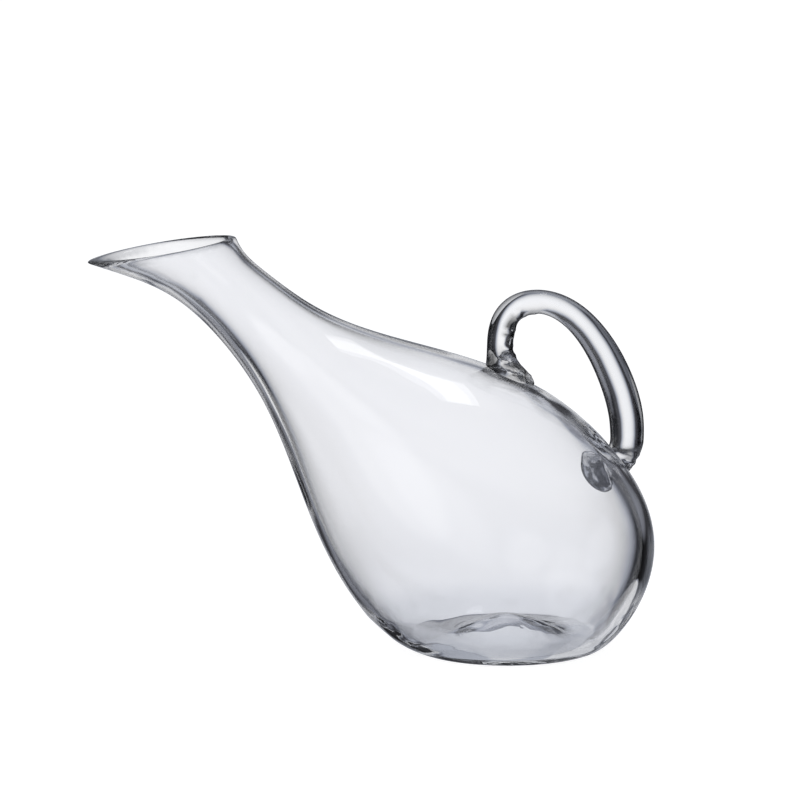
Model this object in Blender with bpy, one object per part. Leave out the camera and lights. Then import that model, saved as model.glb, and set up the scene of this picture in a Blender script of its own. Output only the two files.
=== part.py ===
"""Wine decanter: a slanted, mouth-blown glass vessel and the solid glass rod handle fused onto it.

Metres, +Z up.  The decanter stands on z = 0.  Its spout points to -X and its handle is on the +X side,
and the XZ plane is the plane of symmetry.
"""
import math

import bmesh
import bpy
import numpy as np
from mathutils import Vector
from mathutils.bvhtree import BVHTree

MM = 0.001

# ---- the vessel's outside, station by station, from the mouth to the foot ring (millimetres) ----
# Each station is one oval section.  (x, z) of its lower end, (x, z) of its upper end, half width in Y.
# The stations are the control points of a cubic B-spline, so the wall is smooth from end to end.
VESSEL_STATIONS = (
    ((-155.5, 215.4), (-73.5, 228.6), 25.0),
    ((-147.5, 212.9), (-72.8, 227.0), 25.2),
    ((-138.0, 209.7), (-71.8, 224.8), 25.0),
    ((-128.0, 206.3), (-70.4, 222.2), 24.6),
    ((-117.0, 201.8), (-68.2, 219.0), 24.0),
    ((-105.0, 194.8), (-64.6, 215.2), 23.3),
    ((-92.0, 183.6), (-58.2, 209.8), 22.7),
    ((-79.6, 169.6), (-47.6, 201.4), 23.0),
    ((-68.6, 154.6), (-32.8, 190.6), 25.4),
    ((-59.4, 139.0), (-14.0, 181.0), 31.0),
    ((-51.6, 122.0), (7.8, 173.6), 39.0),
    ((-44.0, 102.0), (32.0, 167.0), 48.0),
    ((-36.4, 80.0), (59.4, 159.2), 57.0),
    ((-27.6, 57.6), (87.6, 147.6), 64.5),
    ((-17.2, 38.0), (113.4, 130.8), 69.5),
    ((-7.2, 23.0), (134.8, 108.0), 72.0),
    ((2.0, 12.8), (149.6, 86.0), 72.6),
    ((10.0, 6.2), (156.4, 64.0), 71.4),
    ((15.8, 2.6), (155.2, 43.6), 68.4),
    ((19.6, 0.9), (148.6, 26.2), 64.0),
    ((22.2, 0.2), (139.8, 12.4), 58.6),
    ((23.6, 0.0), (131.4, 3.8), 54.0),
    ((24.4, 0.0), (126.4, 0.5), 51.0),
    ((26.0, 0.0), (122.6, 0.0), 48.3),
)
# Wall thickness at the same stations: lower side, upper side.
WALL_STATIONS = (
    (3.2, 3.0), (3.4, 3.0), (3.6, 3.0), (3.9, 3.0), (4.2, 3.0), (4.4, 3.0),
    (4.5, 3.0), (4.5, 3.0), (4.4, 3.2), (4.3, 3.4), (4.2, 3.6), (4.1, 4.0),
    (4.0, 4.4), (4.0, 4.8), (4.1, 5.2), (4.3, 5.6), (4.6, 6.0), (5.0, 6.0),
    (5.4, 6.0), (5.8, 6.0), (6.0, 6.0), (6.0, 6.0), (6.0, 6.0), (6.0, 6.0),
)
RINGS_PER_SPAN = 2
SEGMENTS = 40

# ---- mouth: how far the glass reaches in from the outer edge, in the plane of the mouth ----
LIP_TIP_DEPTH = 11.0
LIP_BACK_DEPTH = 5.0
LIP_SIDE_DEPTH = 3.0
LIP_ROUNDING = 0.9
LIP_BLEND_SPANS = 4.0
LIP_POINTEDNESS = 0.16

# A point well inside the bulb.
VESSEL_MIDDLE = (60.0, 0.0, 80.0)

# ---- foot ring and punt ----
FOOT_CENTRE_X = 74.3
FOOT_RING_INNER = 38.0
PUNT_HEIGHT = 12.0
PUNT_RINGS = 5

# ---- handle: centre line (x, y, z) and rod radius, from above the front foot to above the rear foot ----
HANDLE_STATIONS = (
    (69.8, -2.0, 167.0, 7.2),
    (70.1, -1.8, 175.0, 7.3),
    (72.8, -1.4, 184.0, 7.3),
    (80.0, -0.6, 190.6, 6.8),
    (90.6, 0.8, 192.4, 6.5),
    (101.4, 2.6, 189.4, 6.9),
    (111.2, 4.6, 182.9, 7.5),
    (119.6, 6.8, 173.8, 8.1),
    (126.8, 9.2, 163.0, 8.7),
    (132.8, 11.6, 151.0, 9.2),
    (138.0, 14.0, 137.6, 9.5),
    (141.3, 16.4, 124.0, 9.6),
    (141.6, 18.8, 111.5, 9.3),
)
HANDLE_SEGMENTS = 28
HANDLE_STEPS_PER_SPAN = 4
FOOT_RINGS = 8
SOLE_RINGS = 4

# ---- handle feet: where each is pressed on, and how far it spreads over the vessel ----
# Reach and lift are given towards the finger loop, away from it, towards +Y and towards -Y.
FRONT_FOOT = {"aim": (72.0, -2.0, 152.0), "reach": (18.5, 11.5, 11.0, 11.0), "lift": (10.5, 1.0, 3.2, 3.2)}
REAR_FOOT = {"aim": (127.0, 32.0, 92.0), "reach": (12.0, 13.0, 19.0, 15.0), "lift": (3.5, 9.0, 3.5, 3.0)}
FOOT_PULL = 0.34
FUSED_GAP = 0.3

GLASS_COLOUR = (0.90, 0.93, 0.95, 1.0)
GLASS_ROUGHNESS = 0.03
GLASS_METALLIC = 0.0


def clear_scene():
    for obj in list(bpy.data.objects):
        bpy.data.objects.remove(obj, do_unlink=True)


def new_collection(name):
    collection = bpy.data.collections.new(name)
    bpy.context.scene.collection.children.link(collection)
    return collection


def glass_material(name):
    material = bpy.data.materials.new(name)
    material.use_nodes = True
    shader = material.node_tree.nodes["Principled BSDF"]
    shader.inputs["Base Color"].default_value = GLASS_COLOUR
    shader.inputs["Roughness"].default_value = GLASS_ROUGHNESS
    shader.inputs["Metallic"].default_value = GLASS_METALLIC
    shader.inputs["Transmission Weight"].default_value = 1.0
    shader.inputs["IOR"].default_value = 1.5
    material.diffuse_color = GLASS_COLOUR
    return material


def spline(points, samples_per_span):
    """Points on the cubic B-spline of these control points, from the first one to the last one."""
    control = np.array(points, dtype=float)
    first = 2.0 * control[0] - control[1]
    last = 2.0 * control[-1] - control[-2]
    control = np.vstack([first, control, last])
    rows = []
    for span in range(len(points) - 1):
        for step in range(samples_per_span):
            t = step / samples_per_span
            weights = np.array([(1 - t) ** 3, 3 * t ** 3 - 6 * t ** 2 + 4,
                                -3 * t ** 3 + 3 * t ** 2 + 3 * t + 1, t ** 3]) / 6.0
            rows.append(weights @ control[span:span + 4])
    rows.append(np.array(points[-1], dtype=float))
    return np.array(rows)


def section(low, high, half_width, pointedness):
    """One oval section, in the plane of the chord low-high and the Y axis."""
    angle = np.linspace(0.0, 2.0 * math.pi, SEGMENTS, endpoint=False)
    along = 0.5 * (1.0 - np.cos(angle))
    across = np.sin(angle) * (1.0 - pointedness * np.cos(angle) ** 2)
    x = low[0] + along * (high[0] - low[0])
    z = low[1] + along * (high[1] - low[1])
    return np.stack([x, across * half_width, z], axis=1)


def outer_rings():
    """Rings of the vessel's outside from the mouth to the middle of the punt, and the wall at each."""
    flat = [low + high + (width,) for low, high, width in VESSEL_STATIONS]
    stations = spline(flat, RINGS_PER_SPAN)
    walls = spline(WALL_STATIONS, RINGS_PER_SPAN)
    angle = np.linspace(0.0, 2.0 * math.pi, SEGMENTS, endpoint=False)
    upper_share = 0.5 * (1.0 - np.cos(angle))
    rings = []
    thickness = []
    for index, (lx, lz, hx, hz, width) in enumerate(stations):
        from_mouth = index / RINGS_PER_SPAN
        pointed = LIP_POINTEDNESS * max(0.0, 1.0 - from_mouth / LIP_BLEND_SPANS)
        rings.append(section((lx, lz), (hx, hz), width, pointed))
        thickness.append(walls[index][0] + (walls[index][1] - walls[index][0]) * upper_share)
    radii = [FOOT_RING_INNER] + [FOOT_RING_INNER * (1.0 - k / PUNT_RINGS) for k in range(1, PUNT_RINGS)]
    for radius in radii:
        height = PUNT_HEIGHT * math.cos(0.5 * math.pi * radius / FOOT_RING_INNER) ** 2
        ring = section((FOOT_CENTRE_X - radius, height), (FOOT_CENTRE_X + radius, height), radius, 0.0)
        rings.append(ring)
        thickness.append(thickness[-1])
    return np.array(rings), np.array(thickness)


def ring_normals(rings):
    """Outward unit normals of a stack of rings."""
    around = np.roll(rings, -1, axis=1) - np.roll(rings, 1, axis=1)
    along = np.gradient(rings, axis=0)
    normals = np.cross(around, along)
    normals /= np.linalg.norm(normals, axis=2, keepdims=True)
    return normals


def inner_rings(rings, thickness):
    """The inside of the wall: the outside moved in by the wall, and in the mouth's plane at the lip."""
    normals = ring_normals(rings)
    inside = rings - normals * thickness[..., None]
    for index in range(len(rings)):
        mouth_share = max(0.0, 1.0 - index / (RINGS_PER_SPAN * LIP_BLEND_SPANS)) ** 2
        if mouth_share == 0.0:
            break
        low = rings[index][0]
        high = rings[index][SEGMENTS // 2]
        chord = (high - low) / np.linalg.norm(high - low)
        inner_low = low + chord * LIP_TIP_DEPTH
        inner_high = high - chord * LIP_BACK_DEPTH
        width = rings[index][:, 1].max() - LIP_SIDE_DEPTH
        in_plane = section((inner_low[0], inner_low[2]), (inner_high[0], inner_high[2]), width, 0.0)
        inside[index] = (1.0 - mouth_share) * inside[index] + mouth_share * in_plane
    return inside


def skin(bm, rings, pole, flip):
    """Faces over a stack of rings, closed with a fan at the pole; gives back the first ring's vertices."""
    rows = [[bm.verts.new(point) for point in ring] for ring in rings]
    centre = bm.verts.new(pole)
    count = len(rows[0])
    for lower, upper in zip(rows[:-1], rows[1:]):
        for k in range(count):
            quad = [lower[k], lower[(k + 1) % count], upper[(k + 1) % count], upper[k]]
            bm.faces.new(quad[::-1] if flip else quad)
    for k in range(count):
        triangle = [rows[-1][k], rows[-1][(k + 1) % count], centre]
        bm.faces.new(triangle[::-1] if flip else triangle)
    return rows[0]


def bridge(bm, first, second):
    count = len(first)
    for k in range(count):
        bm.faces.new([first[k], second[k], second[(k + 1) % count], first[(k + 1) % count]])


def finish_mesh(bm, name, material, collection):
    bmesh.ops.recalc_face_normals(bm, faces=bm.faces)
    if bm.calc_volume(signed=True) < 0.0:
        bmesh.ops.reverse_faces(bm, faces=bm.faces)
    for face in bm.faces:
        face.smooth = True
    mesh = bpy.data.meshes.new(name)
    bm.to_mesh(mesh)
    bm.free()
    mesh.materials.append(material)
    obj = bpy.data.objects.new(name, mesh)
    collection.objects.link(obj)
    return obj


def make_vessel(collection):
    """Lip, neck, bulb and punted base: one blown wall, open at the mouth."""
    rings, thickness = outer_rings()
    inside = inner_rings(rings, thickness)
    middle = 0.5 * (rings[0] + inside[0])
    chord = rings[0][SEGMENTS // 2] - rings[0][0]
    mouth_normal = np.array([-chord[2], 0.0, chord[0]]) / np.linalg.norm(chord)
    lip = middle + mouth_normal * LIP_ROUNDING
    bm = bmesh.new()
    outer_edge = skin(bm, rings * MM, (FOOT_CENTRE_X * MM, 0.0, PUNT_HEIGHT * MM), False)
    floor = PUNT_HEIGHT + thickness[-1].mean()
    inner_edge = skin(bm, inside * MM, (FOOT_CENTRE_X * MM, 0.0, floor * MM), True)
    crest = [bm.verts.new(point) for point in lip * MM]
    bridge(bm, outer_edge, crest)
    bridge(bm, crest, inner_edge)
    return finish_mesh(bm, "vessel", glass_material("vessel_glass"), collection)


def vessel_surface():
    """The vessel's outside grown by the fused gap, as a tree that answers nearest-point questions."""
    rings, thickness = outer_rings()
    grown = rings + ring_normals(rings) * FUSED_GAP
    points = [Vector(point) for point in grown.reshape(-1, 3)]
    faces = []
    for row in range(len(grown) - 1):
        for k in range(SEGMENTS):
            here = row * SEGMENTS + k
            beside = row * SEGMENTS + (k + 1) % SEGMENTS
            faces.append((here, beside, beside + SEGMENTS, here + SEGMENTS))
    return BVHTree.FromPolygons(points, faces)


def on_surface(surface, point):
    """The nearest point on the vessel and the outward direction there."""
    place, normal, _, _ = surface.find_nearest(Vector(point))
    normal = np.array(normal)
    if normal @ (np.array(place) - np.array(VESSEL_MIDDLE)) < 0.0:
        normal = -normal
    return np.array(place), normal


def four_way(values, angle):
    """A value that changes smoothly from towards the loop, to +Y, to away from the loop, to -Y."""
    inner, outer, plus_y, minus_y = values
    along = inner if math.cos(angle) > 0.0 else outer
    across = plus_y if math.sin(angle) > 0.0 else minus_y
    return along * math.cos(angle) ** 2 + across * math.sin(angle) ** 2


def unit(vector):
    return vector / np.linalg.norm(vector)


def rod_frames():
    """Centre, radius, direction, loop side and +Y side at each step of the rod."""
    steps = spline(HANDLE_STATIONS, HANDLE_STEPS_PER_SPAN)
    centres = steps[:, :3]
    directions = np.gradient(centres, axis=0)
    frames = []
    for centre, radius, direction in zip(centres, steps[:, 3], directions):
        ahead = unit(direction)
        side = unit(np.array([0.0, 1.0, 0.0]) - ahead * ahead[1])
        frames.append((centre, radius, ahead, np.cross(side, ahead), side))
    return frames


def foot_rings(surface, frame, leave, foot):
    """Rings from the rod's end ring, which leaves it in the direction given, out to the foot and its sole."""
    centre, radius, _, loop_side, side = frame
    middle, up = on_surface(surface, foot["aim"])
    towards_loop = unit(loop_side - up * (loop_side @ up))
    towards_y = unit(np.cross(up, towards_loop))
    if towards_y @ side < 0.0:
        towards_y = -towards_y
    angles = np.linspace(0.0, 2.0 * math.pi, HANDLE_SEGMENTS, endpoint=False)
    start = []
    first_handle = []
    second_handle = []
    rim = []
    for angle in angles:
        begin = centre + radius * (math.cos(angle) * loop_side + math.sin(angle) * side)
        reach = four_way(foot["reach"], angle)
        spread = reach * (math.cos(angle) * towards_loop + math.sin(angle) * towards_y)
        edge, normal = on_surface(surface, middle + spread)
        pull = FOOT_PULL * np.linalg.norm(edge - begin)
        start.append(begin)
        first_handle.append(begin + leave * pull)
        second_handle.append(edge + normal * four_way(foot["lift"], angle))
        rim.append(edge)
    start, first_handle, second_handle, rim = map(np.array, (start, first_handle, second_handle, rim))
    rings = []
    for ring in range(1, FOOT_RINGS + 1):
        t = ring / FOOT_RINGS
        row = ((1 - t) ** 3 * start + 3 * t * (1 - t) ** 2 * first_handle
               + 3 * t * t * (1 - t) * second_handle + t ** 3 * rim)
        rings.append(np.array([keep_outside(surface, point) for point in row]))
    for ring in range(1, SOLE_RINGS):
        share = 1.0 - ring / SOLE_RINGS
        rings.append(np.array([on_surface(surface, middle + (point - middle) * share)[0] for point in rim]))
    return rings, middle


def keep_outside(surface, point):
    place, normal = on_surface(surface, point)
    return place if (point - place) @ normal < 0.0 else point


def make_handle(collection):
    """A solid rod drawn into a loop, each end spread into a foot on the vessel."""
    surface = vessel_surface()
    frames = rod_frames()
    angles = np.linspace(0.0, 2.0 * math.pi, HANDLE_SEGMENTS, endpoint=False)
    rod = []
    for centre, radius, _, loop_side, side in frames:
        offsets = np.outer(np.cos(angles), loop_side) + np.outer(np.sin(angles), side)
        rod.append(centre + radius * offsets)
    front, front_middle = foot_rings(surface, frames[0], -frames[0][2], FRONT_FOOT)
    rear, rear_middle = foot_rings(surface, frames[-1], frames[-1][2], REAR_FOOT)
    rings = front[::-1] + rod + rear
    bm = bmesh.new()
    first = skin(bm, np.array(rings) * MM, rear_middle * MM, False)
    centre = bm.verts.new(front_middle * MM)
    for k in range(HANDLE_SEGMENTS):
        bm.faces.new([first[(k + 1) % HANDLE_SEGMENTS], first[k], centre])
    return finish_mesh(bm, "handle", glass_material("handle_glass"), collection)


def main():
    clear_scene()
    collection = new_collection("wine_decanter")
    make_vessel(collection)
    make_handle(collection)


main()
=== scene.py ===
"""Looks of the wine decanter: clear blown glass on a white sweep under soft studio light."""
import math

import bmesh
import bpy
from mathutils import Matrix, Vector, noise
from mathutils.bvhtree import BVHTree


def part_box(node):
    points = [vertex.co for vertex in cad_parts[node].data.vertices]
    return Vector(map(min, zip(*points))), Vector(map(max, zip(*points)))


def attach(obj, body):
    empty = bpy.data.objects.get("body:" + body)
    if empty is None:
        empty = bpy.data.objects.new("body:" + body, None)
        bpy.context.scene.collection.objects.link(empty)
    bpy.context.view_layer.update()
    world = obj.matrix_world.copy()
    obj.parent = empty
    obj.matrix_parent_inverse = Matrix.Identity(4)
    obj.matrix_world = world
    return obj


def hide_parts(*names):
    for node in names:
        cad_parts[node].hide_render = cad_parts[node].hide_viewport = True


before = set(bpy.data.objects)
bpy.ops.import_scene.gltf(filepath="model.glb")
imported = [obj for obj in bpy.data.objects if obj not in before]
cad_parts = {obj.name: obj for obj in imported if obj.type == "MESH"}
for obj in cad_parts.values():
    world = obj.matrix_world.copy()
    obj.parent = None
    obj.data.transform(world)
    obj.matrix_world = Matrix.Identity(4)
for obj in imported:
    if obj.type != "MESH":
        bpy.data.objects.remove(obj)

# ---- camera ----
CAMERA_AZIMUTH = -3.0
CAMERA_ELEVATION = 10.3
CAMERA_DISTANCE = 3.0
FRAMED_WIDTH = 0.4362
SENSOR_WIDTH = 36.0
CLIP_END = 50.0
AIM = Vector((0.0154, 0.0, 0.138))

# ---- studio, as the glass sees it ----
# Places are by bearing (0 along +X, 90 along +Y) and height, in degrees.
# Each panel is (bearing, height, full brightness within, nothing beyond, upright stretch, level).
PANELS = (
    (88.0, -8.0, 1.0, 20.0, 3.0, 1.0),
    (88.0, -8.0, 8.0, 33.0, 1.6, 0.08),
    (138.0, -25.0, 6.0, 14.0, 1.0, 1.0),
    (180.0, -4.0, 12.0, 24.0, 1.2, 1.0),
    (315.0, -15.0, 14.0, 26.0, 1.2, 1.0),
    (45.0, -39.0, 19.0, 20.5, 1.0, 0.88),
    (50.0, 7.0, 7.0, 15.0, 1.0, 0.26),
    (122.0, -33.0, 8.0, 15.0, 1.0, 0.26),
    (255.0, 4.0, 12.0, 26.0, 1.0, 0.85),
    (0.0, -90.0, 12.0, 26.0, 1.0, 0.92),
)
# Light in the dim parts of the room is cooler: (level, (red, green and blue share)) stops.
ROOM_CAST = (
    (0.0, (0.99, 0.98, 1.06)),
    (0.12, (0.93, 0.96, 1.10)),
    (0.45, (0.92, 0.97, 1.09)),
    (0.8, (1.0, 1.0, 1.0)),
)
DARK_LEVEL = 0.008
# Reflections show this share of the room's light, and the softbox in full.
REFLECTED_SHARE = 0.4
# Three wide parts of the room: each level comes in from the first to the second value of the look's
# Y part (the room behind the camera) or Z part (the sky and the table).
ROOM_LEVEL = 0.32
ROOM_BACK = (-0.10, -0.50)
SKY_LEVEL = 0.75
SKY_UP = (0.22, 0.50)
TABLE_LEVEL = 0.55
TABLE_UP = (-0.58, -0.74)
# An overhead softbox: bearing, height, half width and half depth (as sines), and its level.
SOFTBOX = (7.0, 70.5, 0.19, 0.08, 2.2)
SOFTBOX_SLANT = 0.8
# Its edges fade between these shares of the half width, and it shows on its own side of the sky only.
SOFTBOX_EDGE = (1.06, 0.94)
SOFTBOX_SIDE = (0.5, 0.6)
FLOOR_RADIUS = 4.0
FLOOR_CORNERS = 96
FLOOR_COLOUR = (0.35, 0.35, 0.35, 1.0)
FLOOR_ROUGHNESS = 0.6
FLOOR_GLOW = 0.93
WHITE = (1.0, 1.0, 1.0, 1.0)

# ---- glass ----
# The Mix node's colour sockets share their names with its number sockets, so they go by place.
COLOUR_A = 6
COLOUR_B = 7
COLOUR_RESULT = 2
GLASS_IOR = 1.5
GLASS_BOUNCES = 32
# At this blend the Layer Weight node gives one minus the cosine of the angle of view.
EVEN_BLEND = 0.5
# The slow ripple of hand-worked glass: waves per metre and bump in metres.
VESSEL_RIPPLE = (16.0, 0.0012)
HANDLE_RIPPLE = (60.0, 0.0003)
# Red, green and blue share of a grey: the glass is very slightly cool.
COOL_CAST = (0.980, 0.984, 1.003)
# (facing, brightness) stops: facing is 0 where the surface is square to the view and 1 at the outline.
# Painted shade: the glass's own colour darkens towards the outline, standing in for the dim room seen
# through the edge.
VESSEL_EDGE = ((0.0, 0.995), (0.6, 0.975), (0.8, 0.88), (1.0, 0.75))
HANDLE_EDGE = ((0.0, 0.98), (0.12, 0.94), (0.3, 0.8), (0.5, 0.45), (0.66, 0.1), (0.78, 0.01), (1.0, 0.0))
# Thick glass is a little cooler still.
THICK_CAST = (0.975, 0.99, 1.02)
NO_CAST = (1.0, 1.0, 1.0)
# The same for the masks below, such as the thick base or the inside of the wall; these multiply the edge
# with more painted shade, and THICK_CAST adds the cool tint of thick glass.
DARK_EDGE = ((0.0, 1.0), (0.4, 0.97), (0.6, 0.88), (0.76, 0.68), (0.88, 0.46), (1.0, 0.38))
NECK_EDGE = ((0.0, 1.0), (0.08, 0.98), (0.18, 0.94), (0.34, 0.88), (0.6, 0.82), (1.0, 0.82))
BASE_EDGE = ((0.0, 0.84), (0.5, 0.8), (0.8, 0.72), (1.0, 0.6))
RIM_EDGE = ((0.0, 0.62), (0.5, 0.5), (1.0, 0.4))
INNER_EDGE = ((0.0, 1.0), (0.58, 0.97), (0.78, 0.55), (0.88, 0.12), (0.93, 0.0), (1.0, 0.0))
INNER_NECK = ((0.0, 1.0), (0.5, 0.99), (0.64, 0.88), (0.71, 0.5), (0.75, 0.02), (0.79, 0.0), (1.0, 0.0))
PATCH_EDGE = ((0.0, 0.02), (0.4, 0.005), (1.0, 0.0))
MARK_SHADE_EDGE = ((0.0, 0.04), (0.4, 0.02), (1.0, 0.0))
OUTER_EDGE = ((0.0, 1.0), (0.06, 0.94), (0.2, 0.7), (0.4, 0.42), (0.7, 0.3), (1.0, 0.3))
VESSEL_PLACES = (("dark_edge", DARK_EDGE, NO_CAST), ("neck_underside_shade", NECK_EDGE, NO_CAST),
                 ("thick_base_tint_and_shade", BASE_EDGE, THICK_CAST), ("rim", RIM_EDGE, THICK_CAST),
                 ("inner_wall", INNER_EDGE, NO_CAST), ("inner_neck", INNER_NECK, NO_CAST))
HANDLE_PLACES = (("outer_side_shade", OUTER_EDGE, THICK_CAST), ("rear_shade_patch", PATCH_EDGE, NO_CAST),
                 ("tool_mark_shade", MARK_SHADE_EDGE, NO_CAST))

# ---- shape ----
# The CAD mesh is welded and its triangles paired before rounding; the angles are in degrees.
WELD_DISTANCE = 0.000002
PAIR_ANGLE = 40.0
PAIR_SHAPE = 60.0
ROUNDING = 2
# A step off a surface that keeps a ray from meeting the place it starts at.
CLEAR_STEP = 0.0002
DOWN = Vector((0.0, 0.0, -1.0))
# Glass nearer to the vessel than this is a sole, and goes this far down. Folds start above the sole.
SOLE_REACH = 0.0005
SOLE_SINK = 0.00045
SOLE_CLEAR = (0.0006, 0.0025)
# The tongue is below and ahead of these shares of the handle's box, and is pinched along its run.
TONGUE_TOP = 0.72
TONGUE_BACK = 0.5
TONGUE_PINCH = 0.7
TONGUE_RUN = (0.17, 0.33)
# Folds: the pattern, its size and its strength in metres.
PONTIL_FOLDS = ("CLOUDS", 0.02, 0.0012)
CREST_FOLDS = ("CLOUDS", 0.012, 0.0006)
HEEL_FOLDS = ("CLOUDS", 0.012, 0.0008)
SHEAR_MARKS = ("VORONOI", 0.008, 0.0032)
FRONT_FOLDS = ("CLOUDS", 0.0055, 0.0017)
REAR_FOLDS = ("CLOUDS", 0.0055, 0.0026)
# Seeds, the tiny bubbles in thick glass: how many, and their smallest and largest radius.
SEED_COUNT = 16
SEED_RADII = (0.00018, 0.00042)
# Those in the lip's tip: start and spread along and across the vessel's box, in glass up to this thick.
LIP_START = 0.035
LIP_SPREAD = 0.055
LIP_ACROSS = 0.06
LIP_THICKEST = 0.012
# Those in the front leg: its middle in the handle's box, the start and spread up it and out from it,
# and the turn from each seed to the next.
LEG_AHEAD = 0.10
LEG_ACROSS = 0.18
LEG_RISE = 0.63
LEG_RISE_SPREAD = 0.09
LEG_OUT = 0.0012
LEG_OUT_SPREAD = 0.0028
LEG_TURN = 2.4

# ---- masks on the vessel ----
# A mask is made of fades, each from 0 at its first value to 1 at its second. ALONG and UP are shares
# of the vessel's box, FACING is a part of the surface normal, and REACH is in metres. Every mask given
# to mark() or crinkle() takes a point and its normal, whether it needs both or not.
NECK_TILT = 0.6
NECK_FACING = (0.0, 0.5)
NECK_ALONG = (0.42, 0.24)
INNER_NECK_ALONG = (0.52, 0.40)
HEEL_SLOPE = 1.11
HEEL_START = 0.818
HEEL_FADE = (-0.006, 0.006)
BACK_FACING = (0.5, 0.72)
BACK_ALONG = (0.45, 0.62)
BACK_UP = (0.25, 0.4)
# Painted shade darkens the base in two steps, each with its share.
BASE_LOW_SHARE = 0.7
BASE_LOW_UP = (0.12, 0.05)
BASE_HIGH_SHARE = 0.3
BASE_HIGH_UP = (0.40, 0.12)
RIM_UP = 0.93
RIM_CLIMB = 0.277
RIM_FADE = (-0.012, -0.006)
RIM_FACING = (0.2, 0.6)
PONTIL_ALONG = 0.71
PONTIL_ACROSS = 0.5
PONTIL_REACH = (0.034, 0.012)
PONTIL_UP = (0.16, 0.10)
CREST_FRONT_ALONG = (0.68, 0.74)
CREST_BACK_ALONG = (0.97, 0.92)
CREST_FACING = (0.3, 0.55)
CREST_REACH = (0.045, 0.02)
FOLDS_LOW_UP = (0.015, 0.04)
FOLDS_HIGH_UP = (0.14, 0.07)
FOLDS_ALONG = (0.78, 0.6)

# ---- masks on the handle ----
# Here ALONG and UP are shares of the handle's box. WAVES are the noise's waves per metre.
LEG_SIDE_TILT = 0.5
LEG_FACING = (-0.15, 0.2)
LEG_UP = (0.95, 0.86)
LEG_ALONG = (0.40, 0.32)
FOOT_FACING = (-0.15, 0.3)
FOOT_UP = (0.74, 0.64)
FOOT_ALONG = (0.50, 0.42)
REAR_UP = (0.26, 0.12)
BLOTCH_WAVES = 160.0
FINE_BLOTCH_WAVES = 420.0
FINE_BLOTCH_SHARE = 0.6
# Blotches get rarer towards the back: by how much over the whole box, and where they are even.
BLOTCH_THINNING = 3.2
BLOTCH_ALONG = 0.69
BLOTCH_FADE = (-0.12, 0.08)
LOOP_ALONG = 0.43
LOOP_UP = 0.6
LOOP_STRETCH = 1.34
OUTER_FACING = (-0.3, 0.5)
OUTER_ALONG = (0.2, 0.4)
OUTER_UP = (0.76, 0.86)
LEG_WAVES = Vector((120.0, 120.0, 330.0))
LEG_DARK = (0.05, 0.17)
# What is added to the leg's noise between these two fades, where its painted dark crescents crowd.
LEG_STRETCH = 0.45
LEG_STRETCH_LOW = (0.79, 0.83)
LEG_STRETCH_HIGH = (0.92, 0.88)
FOOT_WAVES = 330.0
FOOT_DARK = (0.02, 0.17)
FAR_FACING = (0.0, -0.5)
FAR_UP = (0.80, 0.70)
FAR_ALONG = (0.3, 0.2)


def direction(azimuth, elevation):
    """Unit vector from the aim towards a camera at this azimuth and elevation."""
    a = math.radians(azimuth)
    e = math.radians(elevation)
    return Vector((math.sin(a) * math.cos(e), -math.cos(a) * math.cos(e), math.sin(e)))


def add_camera():
    """The photo's point of view."""
    data = bpy.data.cameras.new("camera")
    data.sensor_width = SENSOR_WIDTH
    data.lens = SENSOR_WIDTH * CAMERA_DISTANCE / FRAMED_WIDTH
    data.clip_end = CLIP_END
    camera = bpy.data.objects.new("camera", data)
    bpy.context.scene.collection.objects.link(camera)
    away = direction(CAMERA_AZIMUTH, CAMERA_ELEVATION)
    camera.location = AIM + away * CAMERA_DISTANCE
    camera.rotation_euler = (-away).to_track_quat("-Z", "Y").to_euler()
    bpy.context.scene.camera = camera


def colour_ramp(tree, value, stops):
    """A ramp from (position, (red, green, blue)) stops."""
    node = tree.nodes.new("ShaderNodeValToRGB")
    elements = node.color_ramp.elements
    while len(elements) < len(stops):
        elements.new(1.0)
    for element, (position, colour) in zip(elements, stops):
        element.position = position
        element.color = colour + (1.0,)
    tree.links.new(value, node.inputs["Fac"])
    return node.outputs["Color"]


def edge_ramp(tree, facing, stops, cast):
    """A ramp of greys with a colour cast, from (facing, brightness) stops."""
    colours = [(position, tuple(level * part for part in cast)) for position, level in stops]
    return colour_ramp(tree, facing, colours)


def glass(name, edge_stops, places, ripple):
    """Clear glass whose colour is painted darker towards its outline: painted shade where the view runs
    along the wall.
    """
    material = bpy.data.materials.new(name)
    material.use_nodes = True
    tree = material.node_tree
    shader = tree.nodes["Principled BSDF"]
    shader.inputs["Roughness"].default_value = 0.0
    shader.inputs["IOR"].default_value = GLASS_IOR
    shader.inputs["Transmission Weight"].default_value = 1.0
    weight = tree.nodes.new("ShaderNodeLayerWeight")
    weight.inputs["Blend"].default_value = EVEN_BLEND
    facing = weight.outputs["Facing"]
    colour = edge_ramp(tree, facing, edge_stops, COOL_CAST)
    for attribute, stops, cast in places:
        where = tree.nodes.new("ShaderNodeAttribute")
        where.attribute_name = attribute
        mix = tree.nodes.new("ShaderNodeMix")
        mix.data_type = "RGBA"
        mix.blend_type = "MULTIPLY"
        tree.links.new(where.outputs["Fac"], mix.inputs["Factor"])
        tree.links.new(colour, mix.inputs[COLOUR_A])
        tree.links.new(edge_ramp(tree, facing, stops, cast), mix.inputs[COLOUR_B])
        colour = mix.outputs[COLOUR_RESULT]
    tree.links.new(colour, shader.inputs["Base Color"])
    coord = tree.nodes.new("ShaderNodeTexCoord")
    waves_per_metre, wave_height = ripple
    waves = tree.nodes.new("ShaderNodeTexNoise")
    waves.inputs["Scale"].default_value = waves_per_metre
    waves.inputs["Detail"].default_value = 1.0
    bump = tree.nodes.new("ShaderNodeBump")
    bump.inputs["Distance"].default_value = wave_height
    bump.inputs["Strength"].default_value = 1.0
    tree.links.new(coord.outputs["Object"], waves.inputs["Vector"])
    tree.links.new(waves.outputs["Fac"], bump.inputs["Height"])
    tree.links.new(bump.outputs["Normal"], shader.inputs["Normal"])
    return material


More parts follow.
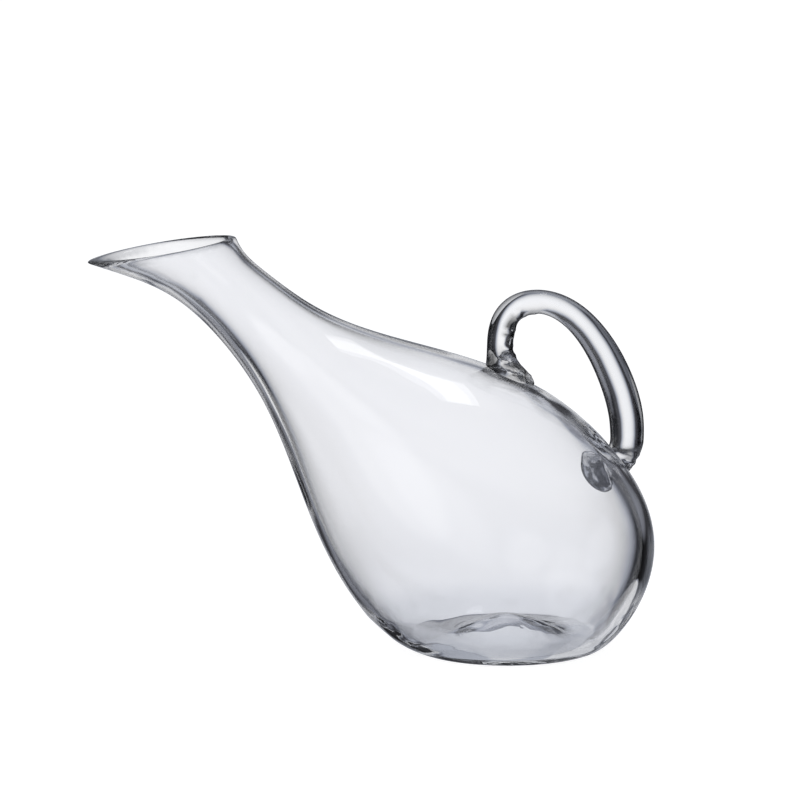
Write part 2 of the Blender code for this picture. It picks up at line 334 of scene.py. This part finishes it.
def mark(piece, name, amount):
    """Writes a 0 to 1 value on every vertex for the glass to read."""
    layer = piece.data.attributes.new(name, "FLOAT", "POINT")
    for vertex in piece.data.vertices:
        layer.data[vertex.index].value = amount(vertex.co, vertex.normal)


def ahead(point):
    """How far along the vessel a point is: 0 at the lip's tip, 1 at the back."""
    low, high = VESSEL_BOX
    return (point.x - low[0]) / (high[0] - low[0])


def raised(point):
    """How far up the vessel a point is: 0 at the foot, 1 at the top of the mouth."""
    low, high = VESSEL_BOX
    return (point.z - low[2]) / (high[2] - low[2])


def neck_underside_shade(point, normal):
    """The neck's lower side, painted a little darker than the rest: painted shade."""
    return fade(-normal.z - NECK_TILT * normal.x, *NECK_FACING) * fade(ahead(point), *NECK_ALONG)


def inner_wall(point, normal):
    """1 on the inside of the wall: from there, a look along the normal meets the far wall."""
    return 0.0 if SURFACE.ray_cast(point + normal * CLEAR_STEP, normal)[0] is None else 1.0


# The inside of the neck's wall, painted black where it is seen edge on: painted shade.
def inner_neck(point, normal):
    return inner_wall(point, normal) * fade(ahead(point), *INNER_NECK_ALONG)


def inner_body(point, normal):
    """The inside of the wall, apart from the two places that dark_edge leaves clear; here the glass is
    painted black where the wall is seen edge on, as painted shade.
    """
    return inner_wall(point, normal) * (1.0 - heel(point)) * (1.0 - upper_back(point, normal))


def heel(point):
    """A wedge low at the back, in the thick glass of the heel, which the painted dark edge leaves clear.
    """
    return fade(HEEL_SLOPE * (ahead(point) - HEEL_START) - raised(point), *HEEL_FADE)


def upper_back(point, normal):
    """The upper back of the bulb, inside and out, which has no painted dark edge."""
    across_back = fade(abs(normal.z), *BACK_FACING) * fade(ahead(point), *BACK_ALONG)
    return across_back * fade(raised(point), *BACK_UP)


# Painted shade: where the glass is painted darker towards its outline, which is all but the heel and the
# upper back.
def dark_edge(point, normal):
    return (1.0 - heel(point)) * (1.0 - upper_back(point, normal))


# Painted shade on the base, darker towards the bottom, with the cool tint of thick glass.
def thick_base_tint_and_shade(point, normal):
    up = raised(point)
    return BASE_LOW_SHARE * fade(up, *BASE_LOW_UP) + BASE_HIGH_SHARE * fade(up, *BASE_HIGH_UP)


def rim(point, normal):
    """The cut face of the lip, which slopes down from the back of the mouth to its tip; it is painted
    darker, as painted shade, with the cool tint of thick glass.
    """
    over = raised(point) - RIM_UP - RIM_CLIMB * ahead(point)
    return fade(over, *RIM_FADE) * fade(normal.z, *RIM_FACING)


def pontil(point, normal):
    """The rough middle of the punt, under the base."""
    low, high = VESSEL_BOX
    along = point.x - low[0] - PONTIL_ALONG * (high[0] - low[0])
    across = point.y - PONTIL_ACROSS * (low[1] + high[1])
    return fade(math.hypot(along, across), *PONTIL_REACH) * fade(raised(point), *PONTIL_UP)


def rear_shade_patch(point, normal):
    """Uneven blotches of painted shade on the rear foot, where its tool-marked glass looks dark."""
    blotch = noise.noise(point * BLOTCH_WAVES)
    blotch += FINE_BLOTCH_SHARE * noise.noise(point * FINE_BLOTCH_WAVES)
    blotch += BLOTCH_THINNING * (BLOTCH_ALONG - share(point, 0))
    return rear_foot(point) * fade(blotch, *BLOTCH_FADE)


def outer_side_shade(point, normal):
    """1 on the side of the handle that faces away from the middle of its loop, which is painted darker
    as painted shade, with the cool tint of thick glass.
    """
    along = share(point, 0)
    up = share(point, 2)
    away = Vector((along - LOOP_ALONG, 0.0, LOOP_STRETCH * (up - LOOP_UP))).normalized()
    beyond_leg = max(fade(along, *OUTER_ALONG), fade(up, *OUTER_UP))
    return fade(away.dot(normal), *OUTER_FACING) * beyond_leg


def tool_mark_shade(point, normal):
    """Painted shade: dark crescents on the front leg and in its foot's folds, and the lower leg's outer
    side painted dark.
    """
    along = share(point, 0)
    up = share(point, 2)
    leg = noise.noise(point * LEG_WAVES)
    leg += LEG_STRETCH * fade(up, *LEG_STRETCH_LOW) * fade(up, *LEG_STRETCH_HIGH)
    crescents = front_leg(point, normal) * fade(leg, *LEG_DARK)
    folds = front_foot(point, normal) * fade(noise.noise(point * FOOT_WAVES), *FOOT_DARK)
    far_side = fade(normal.x, *FAR_FACING) * fade(up, *FAR_UP) * fade(along, *FAR_ALONG)
    return max(crescents, folds, far_side)


def crest(point, normal):
    """The vessel's back between the two feet, drawn out a little where the handle was joined."""
    along = fade(ahead(point), *CREST_FRONT_ALONG) * fade(ahead(point), *CREST_BACK_ALONG)
    return along * fade(normal.z, *CREST_FACING) * fade(abs(point.y), *CREST_REACH)


def heel_folds(point, normal):
    """The uneven glass just above the foot ring, ahead of the heel."""
    up = raised(point)
    return fade(up, *FOLDS_LOW_UP) * fade(up, *FOLDS_HIGH_UP) * fade(ahead(point), *FOLDS_ALONG)


def pinch_tongue(piece):
    """Draws the front foot's tongue out to a thin tip."""
    for vertex in piece.data.vertices:
        if share(vertex.co, 2) < TONGUE_TOP and share(vertex.co, 0) < TONGUE_BACK:
            _, normal, _, distance = SURFACE.find_nearest(vertex.co)
            drop = TONGUE_PINCH * fade(share(vertex.co, 0), *TONGUE_RUN)
            vertex.co -= normal * max(distance - SOLE_REACH, 0.0) * drop


def seeds(piece, places):
    """Adds tiny bubbles, as inward facing shells, at these places in the glass."""
    bm = bmesh.new()
    bm.from_mesh(piece.data)
    small, large = SEED_RADII
    for number, place in enumerate(places):
        radius = small + (large - small) * ((number * 7) % 5) / 4.0
        shell = bmesh.ops.create_icosphere(bm, subdivisions=1, radius=radius,
                                           matrix=Matrix.Translation(place))
        faces = {face for vertex in shell["verts"] for face in vertex.link_faces}
        bmesh.ops.reverse_faces(bm, faces=list(faces))
        for face in faces:
            face.smooth = True
    bm.to_mesh(piece.data)
    bm.free()


def lip_seeds():
    """Places midway through the glass of the lip's tip."""
    low, high = VESSEL_BOX
    found = []
    for number in range(SEED_COUNT):
        along = LIP_START + LIP_SPREAD * ((number * 5) % SEED_COUNT) / SEED_COUNT
        across = LIP_ACROSS * (((number * 11) % SEED_COUNT) / SEED_COUNT - 0.5)
        start = Vector((low[0] + along * (high[0] - low[0]), across * (high[1] - low[1]), high[2]))
        top = SURFACE.ray_cast(start, DOWN)[0]
        if top is None:
            continue
        under = SURFACE.ray_cast(top + DOWN * CLEAR_STEP, DOWN)[0]
        if under is not None and (top - under).length < LIP_THICKEST:
            found.append(top.lerp(under, 0.5))
    return found


def foot_seeds():
    """Places in the middle of the handle's front leg, just above its foot."""
    low, high = HANDLE_BOX
    found = []
    for number in range(SEED_COUNT):
        turn = number * LEG_TURN
        out = LEG_OUT + LEG_OUT_SPREAD * ((number * 3) % 7) / 7.0
        rise = LEG_RISE + LEG_RISE_SPREAD * ((number * 5) % SEED_COUNT) / SEED_COUNT
        found.append(Vector((low[0] + LEG_AHEAD * (high[0] - low[0]) + out * math.cos(turn),
                             low[1] + LEG_ACROSS * (high[1] - low[1]) + out * math.sin(turn),
                             low[2] + rise * (high[2] - low[2]))))
    return found


def smooth_copy(node, name):
    """A finer, rounded copy of a CAD node's shape."""
    bm = bmesh.new()
    bm.from_mesh(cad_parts[node].data)
    bmesh.ops.remove_doubles(bm, verts=bm.verts, dist=WELD_DISTANCE)
    bmesh.ops.join_triangles(bm, faces=bm.faces, angle_face_threshold=math.radians(PAIR_ANGLE),
                             angle_shape_threshold=math.radians(PAIR_SHAPE))
    for face in bm.faces:
        face.smooth = True
    mesh = bpy.data.meshes.new(name)
    bm.to_mesh(mesh)
    bm.free()
    piece = bpy.data.objects.new(name, mesh)
    bpy.context.scene.collection.objects.link(piece)
    subdivision = piece.modifiers.new("round", "SUBSURF")
    subdivision.levels = ROUNDING
    subdivision.render_levels = ROUNDING
    return piece


def sink_sole(piece):
    """Fuses the feet: what lies on the vessel goes a hair into its wall, so no air film shows."""
    for vertex in piece.data.vertices:
        _, normal, _, distance = SURFACE.find_nearest(vertex.co)
        if distance < SOLE_REACH:
            vertex.co -= normal * SOLE_SINK


def crinkle(piece, name, weight, folds):
    """Folds and shear marks left by the glassworker's tools, where weight(point, normal) says."""
    kind, size, strength = folds
    group = piece.vertex_groups.new(name=name)
    for vertex in piece.data.vertices:
        amount = weight(vertex.co, vertex.normal)
        if amount > 0.0:
            group.add([vertex.index], min(amount, 1.0), "REPLACE")
    texture = bpy.data.textures.new(name, kind)
    texture.noise_scale = size
    if kind == "CLOUDS":
        texture.noise_depth = 1
    displace = piece.modifiers.new(name, "DISPLACE")
    displace.texture = texture
    displace.texture_coords = "LOCAL"
    displace.vertex_group = name
    displace.strength = strength
    displace.mid_level = 0.5


def fade(value, start, end):
    """0 at start, 1 at end, smooth between."""
    t = min(max((value - start) / (end - start), 0.0), 1.0)
    return t * t * (3.0 - 2.0 * t)


def share(point, axis):
    """How far along the handle's box a point is, 0 to 1."""
    low, high = HANDLE_BOX
    return (point[axis] - low[axis]) / (high[axis] - low[axis])


def front_leg(point, normal):
    """The loop side of the handle's front leg, from its foot up to the bend."""
    upright = fade(share(point, 2), *LEG_UP) * fade(share(point, 0), *LEG_ALONG)
    facing = fade(normal.x - LEG_SIDE_TILT * max(normal.y, 0.0), *LEG_FACING)
    return facing * upright * clear_of_sole(point)


def front_foot(point, normal):
    """The loop side of the front foot, with its tongue."""
    low_down = fade(share(point, 2), *FOOT_UP) * fade(share(point, 0), *FOOT_ALONG)
    return fade(normal.x, *FOOT_FACING) * low_down * clear_of_sole(point)


def rear_foot(point):
    return fade(share(point, 2), *REAR_UP)


def rear_folds(point, normal):
    return rear_foot(point) * clear_of_sole(point)


def clear_of_sole(point):
    """0 on the glass that lies on the vessel, 1 from a few millimetres above it."""
    distance = SURFACE.find_nearest(point)[3]
    return fade(distance, *SOLE_CLEAR)


def add_floor():
    """A pale floor. Looks through or off the glass pass it by and show the studio in its place."""
    bm = bmesh.new()
    bmesh.ops.create_circle(bm, cap_ends=True, segments=FLOOR_CORNERS, radius=FLOOR_RADIUS)
    mesh = bpy.data.meshes.new("floor")
    bm.to_mesh(mesh)
    bm.free()
    floor = bpy.data.objects.new("floor", mesh)
    bpy.context.scene.collection.objects.link(floor)
    material = bpy.data.materials.new("pale_floor")
    material.use_nodes = True
    shader = material.node_tree.nodes["Principled BSDF"]
    shader.inputs["Base Color"].default_value = FLOOR_COLOUR
    shader.inputs["Roughness"].default_value = FLOOR_ROUGHNESS
    shader.inputs["Specular IOR Level"].default_value = 0.0
    shader.inputs["Emission Color"].default_value = WHITE
    shader.inputs["Emission Strength"].default_value = FLOOR_GLOW
    mesh.materials.append(material)
    floor.visible_transmission = False
    floor.visible_glossy = False


def math_node(tree, operation, first, second):
    node = tree.nodes.new("ShaderNodeMath")
    node.operation = operation
    for socket, value in zip(node.inputs, (first, second)):
        if isinstance(value, (int, float)):
            socket.default_value = value
        else:
            tree.links.new(value, socket)
    return node.outputs["Value"]


def smooth_range(tree, value, start, end, level):
    """0 at start, the level at end, smooth between."""
    node = tree.nodes.new("ShaderNodeMapRange")
    node.interpolation_type = "SMOOTHSTEP"
    node.inputs["From Min"].default_value = start
    node.inputs["From Max"].default_value = end
    node.inputs["To Max"].default_value = level
    tree.links.new(value, node.inputs["Value"])
    return node.outputs["Result"]


def vector_node(tree, operation, first, second):
    node = tree.nodes.new("ShaderNodeVectorMath")
    node.operation = operation
    for socket, value in zip(node.inputs, (first, second)):
        if isinstance(value, (tuple, Vector)):
            socket.default_value = value
        elif value is not None:
            tree.links.new(value, socket)
    return node


def bearing_vector(bearing, height):
    """Unit vector towards a bearing and height; a camera's azimuth is counted a quarter turn on."""
    return direction(bearing + 90.0, height)


def panel(tree, look, bearing, height, inner, outer, stretch, level):
    """A soft round or upright oval of light on the world."""
    squeeze = (1.0, 1.0, 1.0 / stretch)
    squeezed = vector_node(tree, "MULTIPLY", look, squeeze).outputs["Vector"]
    squeezed = vector_node(tree, "NORMALIZE", squeezed, None).outputs["Vector"]
    axis = bearing_vector(bearing, height)
    axis = Vector((axis.x, axis.y, axis.z / stretch)).normalized()
    facing = vector_node(tree, "DOT_PRODUCT", squeezed, axis).outputs["Value"]
    edge = math.cos(math.radians(outer))
    full = math.cos(math.radians(inner))
    return smooth_range(tree, facing, edge, full, level)


def softbox(tree, look, bearing, height, half_width, half_depth, level):
    """A rectangle of light on the sky, with crisp edges."""
    axis = bearing_vector(bearing, height)
    across = axis.cross(Vector((0.0, 0.0, 1.0))).normalized()
    facing = vector_node(tree, "DOT_PRODUCT", look, axis).outputs["Value"]
    inside = smooth_range(tree, facing, *SOFTBOX_SIDE, level)
    deep = axis.cross(across)
    wide, narrow = SOFTBOX_EDGE
    for side, half in ((across + SOFTBOX_SLANT * deep, half_width), (deep, half_depth)):
        away = vector_node(tree, "DOT_PRODUCT", look, side).outputs["Value"]
        away = math_node(tree, "ABSOLUTE", away, 0.0)
        within = smooth_range(tree, away, half * wide, half * narrow, 1.0)
        inside = math_node(tree, "MULTIPLY", inside, within)
    return inside


def add_world():
    """White to the camera; to the glass, pale panels in a dim room, as in bright-field photography."""
    world = bpy.data.worlds.new("studio")
    world.use_nodes = True
    tree = world.node_tree
    look = tree.nodes.new("ShaderNodeTexCoord").outputs["Generated"]
    split = tree.nodes.new("ShaderNodeSeparateXYZ")
    tree.links.new(look, split.inputs["Vector"])
    above = smooth_range(tree, split.outputs["Z"], *SKY_UP, SKY_LEVEL)
    below = smooth_range(tree, split.outputs["Z"], *TABLE_UP, TABLE_LEVEL)
    near_side = smooth_range(tree, split.outputs["Y"], *ROOM_BACK, ROOM_LEVEL)
    level = math_node(tree, "MAXIMUM", above, below)
    level = math_node(tree, "MAXIMUM", level, near_side)
    level = math_node(tree, "MAXIMUM", level, DARK_LEVEL)
    for one in PANELS:
        level = math_node(tree, "MAXIMUM", level, panel(tree, look, *one))
    path = tree.nodes.new("ShaderNodeLightPath")
    dimming = math_node(tree, "MULTIPLY", path.outputs["Is Reflection Ray"], 1.0 - REFLECTED_SHARE)
    level = math_node(tree, "MULTIPLY", level, math_node(tree, "SUBTRACT", 1.0, dimming))
    level = math_node(tree, "MAXIMUM", level, softbox(tree, look, *SOFTBOX))
    level = math_node(tree, "MAXIMUM", level, path.outputs["Is Camera Ray"])
    background = tree.nodes["Background"]
    tree.links.new(colour_ramp(tree, level, ROOM_CAST), background.inputs["Color"])
    tree.links.new(level, background.inputs["Strength"])
    bpy.context.scene.world = world


def surface_of(node):
    """A CAD node's surface, to cast rays at and measure from."""
    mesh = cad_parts[node].data
    return BVHTree.FromPolygons([vertex.co for vertex in mesh.vertices],
                                [tuple(face.vertices) for face in mesh.polygons])


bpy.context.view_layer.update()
SURFACE = surface_of("vessel")
HANDLE_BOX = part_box("handle")
VESSEL_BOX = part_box("vessel")
add_camera()
add_world()
add_floor()
vessel = smooth_copy("vessel", "blown_vessel")
mark(vessel, "neck_underside_shade", neck_underside_shade)
mark(vessel, "thick_base_tint_and_shade", thick_base_tint_and_shade)
mark(vessel, "inner_wall", inner_body)
mark(vessel, "inner_neck", inner_neck)
mark(vessel, "dark_edge", dark_edge)
mark(vessel, "rim", rim)
crinkle(vessel, "pontil", pontil, PONTIL_FOLDS)
crinkle(vessel, "crest", crest, CREST_FOLDS)
crinkle(vessel, "heel_folds", heel_folds, HEEL_FOLDS)
seeds(vessel, lip_seeds())
vessel.data.materials.append(glass("vessel_glass_clear", VESSEL_EDGE, VESSEL_PLACES, VESSEL_RIPPLE))
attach(vessel, "root")
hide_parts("vessel")
handle = smooth_copy("handle", "drawn_handle")
pinch_tongue(handle)
crinkle(handle, "shear_marks", front_leg, SHEAR_MARKS)
crinkle(handle, "front_folds", front_foot, FRONT_FOLDS)
crinkle(handle, "rear_folds", rear_folds, REAR_FOLDS)
sink_sole(handle)
mark(handle, "rear_shade_patch", rear_shade_patch)
mark(handle, "tool_mark_shade", tool_mark_shade)
mark(handle, "outer_side_shade", outer_side_shade)
seeds(handle, foot_seeds())
handle.data.materials.append(glass("handle_glass_clear", HANDLE_EDGE, HANDLE_PLACES, HANDLE_RIPPLE))
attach(handle, "root")
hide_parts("handle")

scene = bpy.context.scene
scene.view_settings.view_transform = "Standard"
scene.cycles.max_bounces = GLASS_BOUNCES
scene.cycles.transmission_bounces = GLASS_BOUNCES
scene.cycles.glossy_bounces = GLASS_BOUNCES
